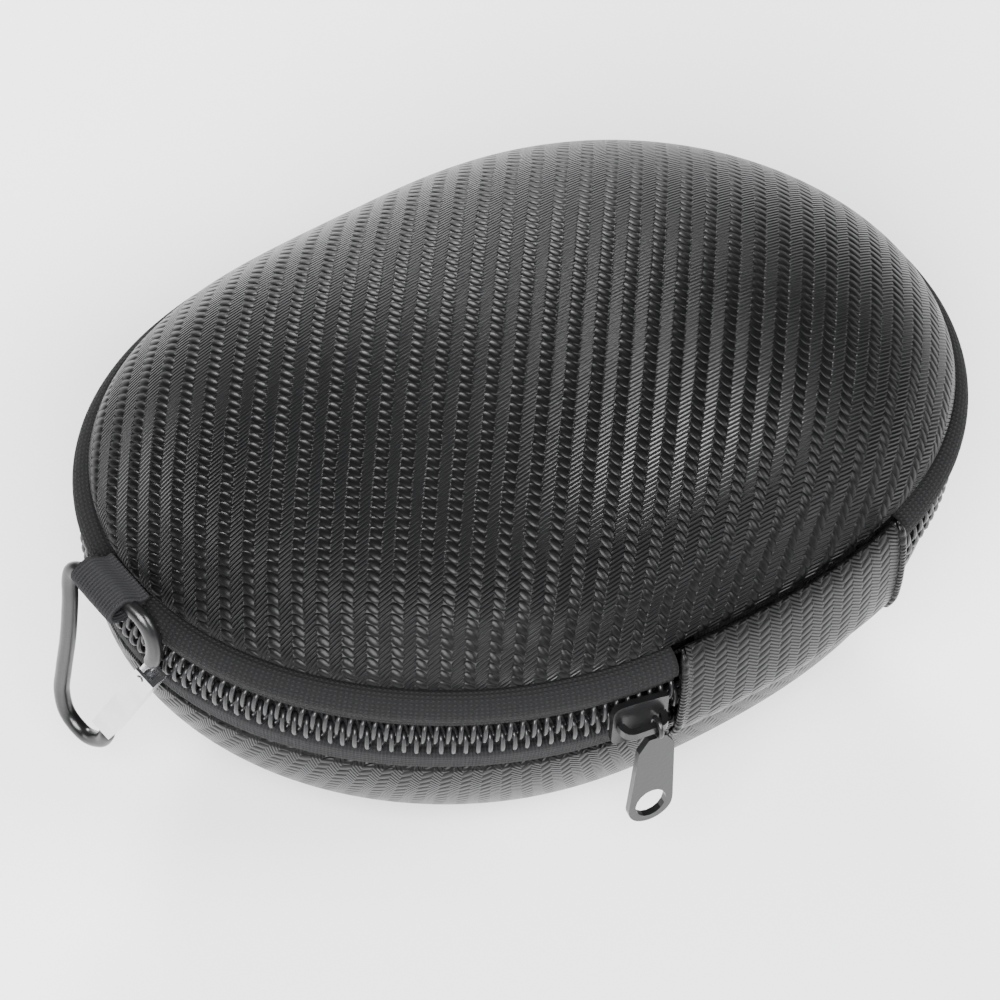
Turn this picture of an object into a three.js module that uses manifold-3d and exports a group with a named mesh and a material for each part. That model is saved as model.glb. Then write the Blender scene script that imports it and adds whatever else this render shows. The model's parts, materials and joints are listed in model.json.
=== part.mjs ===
// Hard headphone case: two domed shells, a coil zip around the rim, a flexible spine,
// a slider with its puller, and a snap hook hanging from a webbing loop.
// Millimetres. While it is built, z = 0 is the parting plane halfway up the zip.
// At the end the whole case is moved so that it stands on z = 0, centred on its bounding box.
import * as THREE from 'three';
import { mergeVertices } from 'three/addons/utils/BufferGeometryUtils.js';
import Module from 'manifold-3d';

// ---------- driving dimensions ----------
const MEAN_RADIUS = 71.6;      // plan outline of the zip: radius plus three slow waves
const OVAL = 12.6;             // two lobes make the oval
const OVAL_TURN = -13;         // degrees from +X to the long axis
const EGG = 0.65;              // three lobes
const EGG_TURN = -85.5;
const SQUARE = 1.43;           // four lobes
const SQUARE_TURN = -26.5;

const BASE_DEPTH = 55.5;       // parting plane down to the surface it stands on
const CHAIN_HALF = 4.35;       // half the height of the closed zip chain
const CHAIN_GAP = 0.9;         // from the parting plane to each coil, and to each tape
const COIL_THICK = 3.0;
const SHELL_EDGE = 8.0;        // each shell stops this far from the parting plane
const WALL_INSET = 3.0;        // how far the shell tucks in behind the tapes
const DOME_EDGE_Z = 14.8;      // lowest line of the lid's dome
const DOME_EDGE_OUT = 0.3;
const DOME_HEIGHT = 27.4;      // dome above that line, on average
const DOME_RISE = 2.7;         // higher by this towards DOME_RISE_TURN, lower on the other side
const DOME_RISE_TURN = -49;
const DOME_RISE_REACH = 34;
const BOWL_EDGE_Z = -11.5;     // highest line of the lower bowl
const BOWL_EDGE_OUT = -1.0;
const BOWL_FLAT = 0.92;        // part of the bowl's curve that is left before its flat foot
const DOME_PLAN_POWER = 1.05;  // how each dome closes in plan, and how both rise
const BOWL_PLAN_POWER = 0.85;
const RISE_POWER = 1.2;
const DOME_LEDGE_TILT = 3.6;   // degrees of dome that each millimetre of depth takes up
const BOWL_LEDGE_TILT = 2.1;
const SKIN = 0.8;
const FOAM = 3.2;
const LINING = 0.8;
const FIT = 0.3;               // gap between pieces that touch
const LAYER_FIT = 0.6;         // and between the curved layers of a shell

const SPINE_START = -101;      // degrees around the rim, the spine's two ends
const SPINE_END = -56;
const FINE_STEP = 5;           // degrees between facets, outside
const COARSE_STEP = 10;        // and inside
const SLIDER_AT = -109;
const LOOP_AT = 171;
const HOOK_TURN = 12;          // the hook hangs turned this far from the rim

const TAPE_FACE = -1.9;        // outside face of the flat tape
const TAPE_BACK = -2.6;
const PLATE_FACE = 3.4;        // outside face of the slider's top plate
const PULL_PIVOT_OUT = 6.3;    // the puller turns on the slider's bridge
const PULL_PIVOT_ALONG = 2.2;
const HOOK_OUT = 6.5;          // the hook's top bar in the webbing loop
const HOOK_Z = 15.8;
const HOOK_ROD = 1.6;

const rad = THREE.MathUtils.degToRad;
const wasm = await Module();
wasm.setup();

// ---------- materials ----------
const finish = (color, roughness, metalness) =>
  new THREE.MeshStandardMaterial({ color, roughness, metalness });
const LEATHERETTE = finish('#17171a', 0.45, 0);
const FOAM_GREY = finish('#2a2a2c', 0.9, 0);
const JERSEY = finish('#1d1d20', 0.95, 0);
const TAPE = finish('#121214', 0.9, 0);
const NYLON = finish('#0f0f10', 0.5, 0);
const BLACK_METAL = finish('#101011', 0.3, 0.6);
const CHROME = finish('#c8c8cc', 0.2, 1);

// ---------- the rim ----------
function rimRadius(angle) {
  return MEAN_RADIUS + OVAL * Math.cos(2 * (angle - rad(OVAL_TURN)))
    + EGG * Math.cos(3 * (angle - rad(EGG_TURN)))
    + SQUARE * Math.cos(4 * (angle - rad(SQUARE_TURN)));
}

function rimNormal(angle) {
  const step = 0.001;
  const before = new THREE.Vector2(1, 0).rotateAround(new THREE.Vector2(), angle - step)
    .multiplyScalar(rimRadius(angle - step));
  const after = new THREE.Vector2(1, 0).rotateAround(new THREE.Vector2(), angle + step)
    .multiplyScalar(rimRadius(angle + step));
  const along = after.sub(before).normalize();
  return new THREE.Vector2(along.y, -along.x);
}

// a point on the rim, moved outwards by out, with the plan shrunk by scale first
function rimPoint(degrees, out, z, scale = 1) {
  const angle = rad(degrees);
  const radius = rimRadius(angle) * scale;
  const normal = rimNormal(angle);
  return new THREE.Vector3(
    radius * Math.cos(angle) + normal.x * out,
    radius * Math.sin(angle) + normal.y * out,
    z);
}

function stations(from, to, step) {
  const count = Math.round((to - from) / step);
  return Array.from({ length: count + 1 }, (_, i) => from + (to - from) * i / count);
}
const FULL_FINE = stations(SPINE_START, SPINE_START + 360, FINE_STEP).slice(0, -1);
const FULL_COARSE = stations(SPINE_START, SPINE_START + 360, COARSE_STEP).slice(0, -1);

// ---------- closed meshes ----------
function closedGeometry(points, faces) {
  const volume = faces.reduce((sum, [a, b, c]) =>
    sum + points[a].dot(new THREE.Vector3().crossVectors(points[b], points[c])), 0);
  const order = volume > 0 ? faces : faces.map(([a, b, c]) => [a, c, b]);
  const geometry = new THREE.BufferGeometry();
  geometry.setAttribute('position',
    new THREE.Float32BufferAttribute(points.flatMap((p) => p.toArray()), 3));
  geometry.setIndex(order.flat());
  return geometry;
}

// joins equal loops of points, one after the other; ends are capped unless it closes on itself
function loftLoops(loops, closes, capFaces = []) {
  const size = loops[0].length;
  const points = loops.flat();
  const faces = [];
  const spans = closes ? loops.length : loops.length - 1;
  for (let i = 0; i < spans; i += 1) {
    const here = i * size;
    const next = ((i + 1) % loops.length) * size;
    for (let j = 0; j < size; j += 1) {
      const k = (j + 1) % size;
      faces.push([here + j, here + k, next + k], [here + j, next + k, next + j]);
    }
  }
  if (!closes) {
    const last = (loops.length - 1) * size;
    for (const [a, b, c] of capFaces) {
      faces.push([a, c, b], [last + a, last + b, last + c]);
    }
  }
  return closedGeometry(points, faces);
}

// sweeps a section, given as [out, z] corners, along the rim
function alongRim(section, angles, closes) {
  const loops = angles.map((degrees) => section.map(([out, z]) => rimPoint(degrees, out, z)));
  const flat = section.map(([out, z]) => new THREE.Vector2(out, z));
  const clockwise = THREE.ShapeUtils.area(flat) < 0;
  const caps = THREE.ShapeUtils.triangulateShape(flat, [])
    .map(([a, b, c]) => (clockwise ? [a, c, b] : [a, b, c]));
  return loftLoops(loops, closes, caps);
}

function solid(geometry) {
  const bare = geometry.clone();
  bare.deleteAttribute('normal');
  bare.deleteAttribute('uv');
  const merged = mergeVertices(bare, 1e-5);
  return new wasm.Manifold(new wasm.Mesh({
    numProp: 3,
    vertProperties: merged.attributes.position.array,
    triVerts: new Uint32Array(merged.index.array),
  }));
}

function fromSolid(shape) {
  const mesh = shape.getMesh();
  const geometry = new THREE.BufferGeometry();
  geometry.setAttribute('position', new THREE.BufferAttribute(mesh.vertProperties, 3));
  geometry.setIndex(new THREE.BufferAttribute(mesh.triVerts, 1));
  return geometry;
}

const cut = (geometry, tool) => fromSolid(solid(geometry).subtract(solid(tool)));
const join = (...geometries) =>
  fromSolid(geometries.map(solid).reduce((sum, next) => sum.add(next)));

// ---------- domes ----------
const domeHeight = (x, y) => {
  const along = x * Math.cos(rad(DOME_RISE_TURN)) + y * Math.sin(rad(DOME_RISE_TURN));
  return DOME_HEIGHT + DOME_RISE * Math.tanh(along / DOME_RISE_REACH);
};

// a point on the lid's or bowl's surface; tilt runs from 0 at the edge to 90 at the middle,
// and depth is measured inwards from the outer surface
function shellPoint(degrees, tilt, depth, upper) {
  const scale = Math.cos(rad(tilt)) ** (upper ? DOME_PLAN_POWER : BOWL_PLAN_POWER);
  const rise = Math.sin(rad(tilt)) ** RISE_POWER;
  const out = (upper ? DOME_EDGE_OUT : BOWL_EDGE_OUT) - depth * Math.cos(rad(tilt));
  const edge = rimPoint(degrees, scale * (out + depth * Math.cos(rad(tilt))), 0, scale);
  const inward = rimPoint(degrees, -depth * Math.cos(rad(tilt)), 0, scale).sub(
    rimPoint(degrees, 0, 0, scale));
  const spot = edge.add(inward);
  if (upper) {
    spot.z = DOME_EDGE_Z + domeHeight(spot.x, spot.y) * rise - depth * Math.sin(rad(tilt));
  } else {
    const full = BASE_DEPTH + BOWL_EDGE_Z;
    spot.z = BOWL_EDGE_Z - full * Math.min(1, rise / BOWL_FLAT) + depth * Math.sin(rad(tilt));
  }
  return spot;
}

const TILTS = [0, 11, 23, 36, 50, 64, 77];

// one layer of a shell: from the shell's edge behind the tape, over the dome and back inside
function shellLayer(top, thickness, upper, angles) {
  const side = upper ? 1 : -1;
  const edge = Math.abs(upper ? DOME_EDGE_Z : BOWL_EDGE_Z);
  const ring = (out, z) => angles.map((degrees) => rimPoint(degrees, out, side * z));
  // the deeper the layer, the higher up the dome its ledge meets it
  const dome = (depth) => {
    const first = (upper ? DOME_LEDGE_TILT : BOWL_LEDGE_TILT) * depth;
    return TILTS.map((tilt) => angles.map((degrees) =>
      shellPoint(degrees, first + (90 - first) * tilt / 90, depth, upper)));
  };
  const step = edge - 0.6;
  const outer = [ring(-WALL_INSET - top, SHELL_EDGE), ring(-WALL_INSET - top, step + top)];
  const inner = [ring(-WALL_INSET - top - thickness, SHELL_EDGE),
    ring(-WALL_INSET - top - thickness, step + top + thickness)];
  const rings = [...outer, ...dome(top)];
  const back = [...inner, ...dome(top + thickness)];
  const size = angles.length;
  const points = [...rings.flat(), shellPoint(0, 90, top, upper),
    ...back.flat(), shellPoint(0, 90, top + thickness, upper)];
  const faces = [];
  const sheet = (start, count, flip) => {
    const add = (a, b, c) => faces.push(flip ? [a, c, b] : [a, b, c]);
    for (let i = 0; i < size; i += 1) {
      const j = (i + 1) % size;
      for (let row = 0; row < count - 1; row += 1) {
        const low = start + row * size;
        add(low + i, low + j, low + size + j);
        add(low + i, low + size + j, low + size + i);
      }
      add(start + (count - 1) * size + i, start + (count - 1) * size + j, start + count * size);
    }
  };
  const backStart = rings.length * size + 1;
  sheet(0, rings.length, false);
  sheet(backStart, back.length, true);
  for (let i = 0; i < size; i += 1) {
    const j = (i + 1) % size;
    faces.push([i, backStart + i, backStart + j], [i, backStart + j, j]);
  }
  return closedGeometry(points, faces);
}

const LAYERS = [
  { name: 'skin', top: 0, thick: SKIN, angles: FULL_FINE, material: LEATHERETTE },
  { name: 'foam', top: SKIN + LAYER_FIT, thick: FOAM, angles: FULL_COARSE, material: FOAM_GREY },
  { name: 'lining', top: SKIN + FOAM + 2 * LAYER_FIT, thick: LINING, angles: FULL_COARSE,
    material: JERSEY },
];
const LAYER_DEPTH = SKIN + FOAM + LINING + 2 * LAYER_FIT;

// ---------- zip ----------
const ZIP_ANGLES = stations(SPINE_END + 1, SPINE_START + 359, FINE_STEP);
const COIL_START = SPINE_END - 5;
const LOWER_COIL_ANGLES = stations(COIL_START, SPINE_START + 365, FINE_STEP);
// the lid's coil stops short of the slider, so that the lid can lift off the slider
const UPPER_COIL_ANGLES = stations(COIL_START, SLIDER_AT + 360 - 9, FINE_STEP);

const ROLLED_TAPE = [
  [TAPE_BACK, CHAIN_GAP], [TAPE_FACE, CHAIN_GAP], [TAPE_FACE, 4.9], [0.9, 4.9], [1.5, 5.6],
  [1.5, 7.2], [2.6, 8.0], [3.2, 9.4], [3.1, 11.0], [2.2, 12.6], [0.8, 13.6], [-0.9, 13.6],
  [TAPE_BACK, 13.0],
];
const FLAT_TAPE = [
  [TAPE_BACK, -CHAIN_GAP], [TAPE_FACE, -CHAIN_GAP], [TAPE_FACE, -4.9], [-0.2, -4.9],
  [0.2, -5.6], [-0.3, -8.2], [-0.9, -10.6], [TAPE_BACK, -10.6],
];

function coilSection(side) {
  const middle = side * (CHAIN_GAP + CHAIN_HALF) / 2;
  const half = (CHAIN_HALF - CHAIN_GAP) / 2;
  return Array.from({ length: 8 }, (_, i) => {
    const angle = rad(22.5 + 45 * i);
    return [COIL_THICK / 2 * Math.cos(angle), middle + half * Math.sin(angle)];
  });
}

// binding folded over each shell's cut edge and up its inside
function bindingSection(side) {
  const face = -WALL_INSET - LAYER_DEPTH - FIT;
  const edge = SHELL_EDGE - FIT;
  const thick = 0.8;
  return [
    [-WALL_INSET, side * edge], [-WALL_INSET, side * (edge - thick)],
    [face - thick, side * (edge - thick)], [face - thick, side * (edge + 4)],
    [face, side * (edge + 4)], [face, side * edge],
  ];
}

// ---------- spine ----------
const SPINE_ANGLES = stations(SPINE_START + 1, SPINE_END - 1, FINE_STEP);
const COVER_SECTION = [
  [1.9, 15.6], [3.1, 13.0], [3.9, 9.0], [4.1, 3.0], [3.9, -3.0], [3.1, -8.0], [0.7, -12.8],
  [-0.3, -12.1], [2.0, -7.7], [2.7, -3.0], [2.9, 3.0], [2.7, 8.8], [2.0, 12.4], [0.8, 15.2],
];
const HINGE_TAPE_SECTION = [
  [TAPE_BACK, -10.8], [TAPE_BACK + 0.9, -10.8], [TAPE_BACK + 0.9, 13.2], [TAPE_BACK, 13.2],
];

// the folded edge at each end of the spine: a bead that follows the cover's outside
function spineEdge(degrees) {
  const beadRadius = 0.9;
  const path = new THREE.CatmullRomCurve3(COVER_SECTION.slice(0, 7).map(([out, z]) =>
    rimPoint(degrees, out - 0.2, z * 0.985)));
  const section = new THREE.Shape().absarc(0, 0, beadRadius, 0, 2 * Math.PI);
  return new THREE.ExtrudeGeometry(section, { extrudePath: path, steps: 12, curveSegments: 4 });
}

// ---------- slider and puller ----------
// local frame on the rim: x along the zip towards the spine, y up, z outwards
function rimFrame(degrees, out, z, turn = 0) {
  const normal = rimNormal(rad(degrees));
  const group = new THREE.Group();
  const outward = new THREE.Vector3(normal.x, normal.y, 0)
    .applyAxisAngle(new THREE.Vector3(0, 0, 1), rad(turn));
  const up = new THREE.Vector3(0, 0, 1);
  const along = new THREE.Vector3().crossVectors(up, outward);
  group.setRotationFromMatrix(new THREE.Matrix4().makeBasis(along, up, outward));
  group.position.copy(rimPoint(degrees, out, z));
  return group;
}

function boatShape(length, nose, tail) {
  const half = length / 2;
  const shape = new THREE.Shape();
  shape.moveTo(half, -tail);
  shape.lineTo(half, tail);
  shape.quadraticCurveTo(0, nose, -half + 2, nose);
  shape.quadraticCurveTo(-half, nose, -half, nose - 2);
  shape.lineTo(-half, -nose + 2);
  shape.quadraticCurveTo(-half, -nose, -half + 2, -nose);
  shape.quadraticCurveTo(0, -nose, half, -tail);
  return shape;
}

function plateAt(shape, bottom, thickness, segments = 4) {
  const geometry = new THREE.ExtrudeGeometry(shape,
    { depth: thickness, bevelEnabled: false, curveSegments: segments });
  return geometry.translate(0, 0, bottom);
}

// top and bottom plates joined by a thin post that parts the two coils
function sliderBody() {
  const top = plateAt(boatShape(11.6, 5.4, 4.4), PLATE_FACE - 1.3, 1.3);
  const bottom = plateAt(boatShape(11.0, 5.2, 4.2), -4.4, 1.0);
  const post = new THREE.BoxGeometry(3.4, 1.0, PLATE_FACE + 3.2).translate(3.2, 0, -0.2);
  return join(top, bottom, post);
}

// the arched bar on the slider, standing on two feet
function sliderBridge() {
  const shape = new THREE.Shape();
  shape.moveTo(-5.0, 0);
  shape.quadraticCurveTo(-4.8, 3.3, -2.2, 3.3);
  shape.lineTo(3.2, 3.3);
  shape.quadraticCurveTo(5.0, 3.2, 5.2, 0);
  shape.lineTo(3.8, 0);
  shape.quadraticCurveTo(3.8, 1.9, 2.8, 1.9);
  shape.lineTo(-2.0, 1.9);
  shape.quadraticCurveTo(-3.4, 1.9, -3.6, 0);
  const geometry = new THREE.ExtrudeGeometry(shape,
    { depth: 1.8, bevelEnabled: false, curveSegments: 5 });
  geometry.translate(0, 0, -0.9);
  return geometry.rotateX(Math.PI / 2).translate(0, 0, PLATE_FACE + 0.3);
}

const PULL_LENGTH = 28.5;
const PULL_TOP_HALF = 1.8;
const PULL_HALF = 4.6;

// the tab hangs in the plane of the rim, below the ring that turns on the bridge
function pullerTab() {
  const shape = new THREE.Shape();
  shape.moveTo(-PULL_TOP_HALF, -2.6);
  shape.lineTo(PULL_TOP_HALF, -2.6);
  shape.lineTo(3.7, -6.0);
  shape.lineTo(PULL_HALF, -PULL_LENGTH + 6);
  shape.absarc(0, -PULL_LENGTH + 4.6, PULL_HALF, 0, -Math.PI, true);
  shape.lineTo(-3.7, -6.0);
  shape.closePath();
  const hole = new THREE.Path();
  hole.absellipse(0, -PULL_LENGTH + 5.4, 3.2, 3.9, 0, 2 * Math.PI, false);
  shape.holes.push(hole);
  return new THREE.ExtrudeGeometry(shape,
    { depth: 1.4, bevelEnabled: false, curveSegments: 8 }).translate(0, 0, -0.7);
}

// the ring that the tab hangs from; it runs round the bridge's bar
function pullerRing() {
  const shape = new THREE.Shape().absarc(0, 0, 2.35, 0, 2 * Math.PI, false);
  shape.holes.push(new THREE.Path().absarc(0, 0, 1.35, 0, 2 * Math.PI, true));
  const geometry = new THREE.ExtrudeGeometry(shape,
    { depth: 1.6, bevelEnabled: false, curveSegments: 8 });
  return geometry.translate(0, 0, -0.8).rotateY(Math.PI / 2);
}

// ---------- webbing loop and snap hook ----------
const LOOP_WIDTH = 11.4;
const TUNNEL_WIDE = 3.0;       // half the room inside the loop, outwards and upwards
const TUNNEL_HIGH = 2.1;
const WEBBING = 1.0;

// seen along the rim: sewn at the groove under the dome, over the rolled tape, round the bar
function webbingLoop() {
  const shape = new THREE.Shape();
  const wide = TUNNEL_WIDE + WEBBING;
  const high = TUNNEL_HIGH + WEBBING;
  shape.moveTo(1.0, 14.2);
  shape.lineTo(2.5, 14.2);
  shape.absellipse(HOOK_OUT, HOOK_Z, wide, high, Math.PI, 2 * Math.PI + 1.2, false);
  shape.quadraticCurveTo(4.6, 19.3, 1.0, 16.6);
  const tunnel = new THREE.Path().absellipse(
    HOOK_OUT, HOOK_Z, TUNNEL_WIDE, TUNNEL_HIGH, 0, 2 * Math.PI, true);
  shape.holes.push(tunnel);
  return new THREE.ExtrudeGeometry(shape,
    { depth: LOOP_WIDTH, bevelEnabled: false, curveSegments: 7 });
}

// the hook's centre line in its own plane: x across, y up, from the gate's hinge round to the nose
const HOOK_LINE = [
  [11.6, -12.4], [12.4, -9.0], [11.9, -4.6], [9.4, -1.2], [5.9, 0], [2, 0], [-2, 0], [-5.9, 0],
  [-8.6, -1.8], [-9.3, -5.4], [-9.1, -11], [-9.3, -22], [-10.2, -34], [-10.5, -41],
  [-8.8, -46.6], [-4.2, -49.0], [0.0, -46.8], [1.8, -42.4],
];
const GATE_HINGE = new THREE.Vector2(10.9, -15.8);
const GATE_END = new THREE.Vector2(1.2, -39.6);
const GATE_SPAN = GATE_END.clone().sub(GATE_HINGE);
const GATE_TURN = Math.atan2(GATE_SPAN.x, -GATE_SPAN.y);
const PIN_RADIUS = 0.5;

const pinAt = (radius, length) =>
  new THREE.CylinderGeometry(radius, radius, length, 12).rotateX(Math.PI / 2);

// bent rod, with an eye for the gate's pin at its end
function hookBody() {
  const path = new THREE.CatmullRomCurve3(HOOK_LINE.map(([x, y]) => new THREE.Vector3(x, y, 0)));
  const section = new THREE.Shape().absarc(0, 0, HOOK_ROD, 0, 2 * Math.PI);
  const rod = new THREE.ExtrudeGeometry(section,
    { extrudePath: path, steps: 56, curveSegments: 4 });
  const neck = new THREE.BoxGeometry(1.8, 4.4, 2.0).translate(0, 2.2, 0);
  const eye = cut(join(neck, pinAt(1.3, 2.0)), pinAt(PIN_RADIUS + FIT, 3))
    .translate(GATE_HINGE.x, GATE_HINGE.y, 0);
  return join(rod, eye);
}

// the gate is a channel of sheet metal, open towards the inside of the hook
function hookGate() {
  const length = GATE_SPAN.length();
  const outside = new THREE.BoxGeometry(4.8, length + 2.4, 4.0).translate(0.6, -length / 2, 0);
  const inside = new THREE.BoxGeometry(4.0, length + 4.0, 2.6).translate(-0.3, -length / 2, 0);
  const channel = cut(outside, inside).rotateZ(GATE_TURN);
  return cut(channel, pinAt(PIN_RADIUS + FIT, 6));
}

function gateSpring() {
  const turns = 5;
  const length = 9;
  class Coil extends THREE.Curve {
    getPoint(t) {
      const angle = 2 * Math.PI * turns * t;
      return new THREE.Vector3(0.75 * Math.cos(angle), -length * t, 0.75 * Math.sin(angle));
    }
  }
  const section = new THREE.Shape().absarc(0, 0, 0.22, 0, 2 * Math.PI);
  return new THREE.ExtrudeGeometry(section,
    { extrudePath: new Coil(), steps: 60, curveSegments: 2 })
    .translate(0.3, -3.4, 0).rotateZ(GATE_TURN);
}

// ---------- net pocket in the lid ----------
// a flat panel whose corners lie just inside the lining, at the given angles around the rim
function panel(angles, thickness) {
  const inset = WALL_INSET + LAYER_DEPTH + 1;
  const shape = new THREE.Shape(angles.map((degrees) => {
    const corner = rimPoint(degrees, -inset, 0);
    return new THREE.Vector2(corner.x, corner.y);
  }));
  return new THREE.ExtrudeGeometry(shape, { depth: thickness, bevelEnabled: false })
    .translate(0, 0, DOME_EDGE_Z);
}

const pocketNet = () => panel(stations(5, 175, COARSE_STEP), 0.8);
const pocketElastic = () => panel([1, 4.6, 175.4, 179], 1.8);

// ---------- assembly ----------
const model = new THREE.Group();

function add(name, geometry, material, parent = model) {
  const mesh = new THREE.Mesh(geometry, material);
  mesh.name = name;
  parent.add(mesh);
}

for (const upper of [false, true]) {
  const half = upper ? 'upper' : 'lower';
  const side = upper ? 1 : -1;
  for (const layer of LAYERS) {
    add(`${half}_shell_${layer.name}`,
      shellLayer(layer.top, layer.thick, upper, layer.angles), layer.material);
  }
  add(`${half}_binding`, alongRim(bindingSection(side), FULL_COARSE, true), TAPE);
}

const sliderRoom = rimFrame(SLIDER_AT, 0, 0);
sliderRoom.updateMatrixWorld();
const roomBlock = new THREE.BoxGeometry(14.6, 12.4, 12).applyMatrix4(sliderRoom.matrixWorld);
add('lower_zip_tape', alongRim(FLAT_TAPE, ZIP_ANGLES, false), TAPE);
add('upper_zip_tape', cut(alongRim(ROLLED_TAPE, ZIP_ANGLES, false), roomBlock), TAPE);
add('lower_coil', alongRim(coilSection(-1), LOWER_COIL_ANGLES, false), NYLON);
add('upper_coil', alongRim(coilSection(1), UPPER_COIL_ANGLES, false), NYLON);

add('hinge_tape', alongRim(HINGE_TAPE_SECTION, SPINE_ANGLES.slice(1, -1), false), TAPE);
add('spine_cover', alongRim(COVER_SECTION, SPINE_ANGLES, false), LEATHERETTE);
add('spine_edge_left', spineEdge(SPINE_START), LEATHERETTE);
add('spine_edge_right', spineEdge(SPINE_END), LEATHERETTE);

const slider = rimFrame(SLIDER_AT, 0, 0);
model.add(slider);
add('slider_body', sliderBody(), BLACK_METAL, slider);
add('slider_bridge', sliderBridge(), BLACK_METAL, slider);
const puller = new THREE.Group();
puller.position.set(PULL_PIVOT_ALONG, 0, PULL_PIVOT_OUT);
slider.add(puller);
add('puller_ring', pullerRing(), BLACK_METAL, puller);
add('puller_tab', pullerTab(), BLACK_METAL, puller);

const loopFrame = rimFrame(LOOP_AT, 0, 0);
const loopPlane = new THREE.Group();
loopPlane.rotation.y = -Math.PI / 2;
loopPlane.position.set(LOOP_WIDTH / 2, 0, 0);
loopFrame.add(loopPlane);
model.add(loopFrame);
add('webbing_loop', webbingLoop(), TAPE, loopPlane);
const hook = rimFrame(LOOP_AT, HOOK_OUT, HOOK_Z, HOOK_TURN);
model.add(hook);
add('carabiner_body', hookBody(), BLACK_METAL, hook);
const gate = new THREE.Group();
gate.position.set(GATE_HINGE.x, GATE_HINGE.y, 0);
hook.add(gate);
add('carabiner_gate', hookGate(), CHROME, gate);
add('gate_spring', gateSpring(), CHROME, gate);
add('gate_pin', pinAt(PIN_RADIUS, 4.6), CHROME, gate);

add('pocket_net', pocketNet(), TAPE);
add('pocket_elastic', pocketElastic(), TAPE);

model.updateMatrixWorld(true);
const box = new THREE.Box3().setFromObject(model);
const middle = box.getCenter(new THREE.Vector3());
model.position.set(-middle.x, -middle.y, -box.min.z);

export default model;
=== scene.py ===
"""Looks of the headphone case: pressed leatherette shells, woven tapes, coil zip, slider,
snap hook, linings and net pocket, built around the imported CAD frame."""
import json
import math

import bpy
import numpy as np
from mathutils import Matrix, Vector


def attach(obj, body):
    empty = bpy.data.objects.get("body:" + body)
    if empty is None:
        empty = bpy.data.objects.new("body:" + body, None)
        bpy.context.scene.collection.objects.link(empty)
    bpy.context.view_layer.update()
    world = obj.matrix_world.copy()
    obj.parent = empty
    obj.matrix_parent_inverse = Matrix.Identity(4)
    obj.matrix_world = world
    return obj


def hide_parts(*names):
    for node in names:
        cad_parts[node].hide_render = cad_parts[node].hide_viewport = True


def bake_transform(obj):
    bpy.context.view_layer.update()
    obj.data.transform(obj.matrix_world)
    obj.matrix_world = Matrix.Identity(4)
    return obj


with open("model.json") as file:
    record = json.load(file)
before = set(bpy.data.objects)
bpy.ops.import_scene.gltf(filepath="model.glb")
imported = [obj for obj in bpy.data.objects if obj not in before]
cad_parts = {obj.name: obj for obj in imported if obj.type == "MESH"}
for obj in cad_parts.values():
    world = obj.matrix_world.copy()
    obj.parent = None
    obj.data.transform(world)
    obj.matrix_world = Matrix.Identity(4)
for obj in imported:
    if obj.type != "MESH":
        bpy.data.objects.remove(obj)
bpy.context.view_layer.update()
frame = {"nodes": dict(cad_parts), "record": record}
RECORD = frame["record"]
JOINTS = {joint["name"]: joint for joint in RECORD["behaviour"]["joints"]}

# Lengths are in millimetres and z = 0 is the parting plane, until to_frame() moves them.
MM = 0.001
PLAN = Vector(RECORD["mounts"][0]["pos_m"])
PARTING = Vector((0, 0, JOINTS["lid_hinge"]["pos_m"][2]))

# ---------- driving dimensions, as in the CAD ----------
MEAN_RADIUS = 71.6
OVAL, OVAL_TURN = 12.6, -13
EGG, EGG_TURN = 0.65, -85.5
SQUARE, SQUARE_TURN = 1.43, -26.5
BASE_DEPTH = 55.5
DOME_EDGE_Z, DOME_EDGE_OUT = 14.8, 0.3
DOME_HEIGHT, DOME_RISE, DOME_RISE_TURN, DOME_RISE_REACH = 27.4, 2.7, -49, 34
BOWL_EDGE_Z, BOWL_EDGE_OUT, BOWL_FLAT = -11.5, -1.0, 0.92
DOME_PLAN_POWER, BOWL_PLAN_POWER, RISE_POWER = 1.05, 0.85, 1.2
SHELL_EDGE, WALL_INSET = 8.0, 3.0
LINING_DEPTH = 5.2
SPINE_START, SPINE_END = -101, -56
SLIDER_AT, LOOP_AT = -109, 171
TAPE_BACK, TAPE_FACE = -2.6, -1.9

# the skin dips a little above its lower edge, most on the side of DIP_TURN
DIP_DEPTH, DIP_HEIGHT, DIP_WIDTH, DIP_TURN = 1.5, 6.5, 3.6, -140

COIL_PITCH, COIL_WIRE = 2.3, 0.50
COIL_SQUARE = 0.85              # how square to the zip the front of each turn is, up to 1
COIL_OUT, COIL_REACH, COIL_HEAD = 1.25, 3.9, -0.75
COIL_STEPS = 14                 # points on each turn


# ---------- the rim ----------
def rim_radius(angle):
    return (MEAN_RADIUS + OVAL * np.cos(2 * (angle - np.radians(OVAL_TURN)))
            + EGG * np.cos(3 * (angle - np.radians(EGG_TURN)))
            + SQUARE * np.cos(4 * (angle - np.radians(SQUARE_TURN))))


def rim_slope(angle):
    return (-2 * OVAL * np.sin(2 * (angle - np.radians(OVAL_TURN)))
            - 3 * EGG * np.sin(3 * (angle - np.radians(EGG_TURN)))
            - 4 * SQUARE * np.sin(4 * (angle - np.radians(SQUARE_TURN))))


def rim_point(degrees, out, z, scale=1.0):
    """Points on the rim, moved outwards by out, with the plan shrunk by scale first."""
    angle = np.radians(degrees)
    radius, slope = rim_radius(angle), rim_slope(angle)
    along = np.stack([slope * np.cos(angle) - radius * np.sin(angle),
                      slope * np.sin(angle) + radius * np.cos(angle)], -1)
    along /= np.linalg.norm(along, axis=-1, keepdims=True)
    x = scale * radius * np.cos(angle) + out * along[..., 1]
    y = scale * radius * np.sin(angle) - out * along[..., 0]
    return np.stack(np.broadcast_arrays(x, y, z), -1).astype(float)


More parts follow.
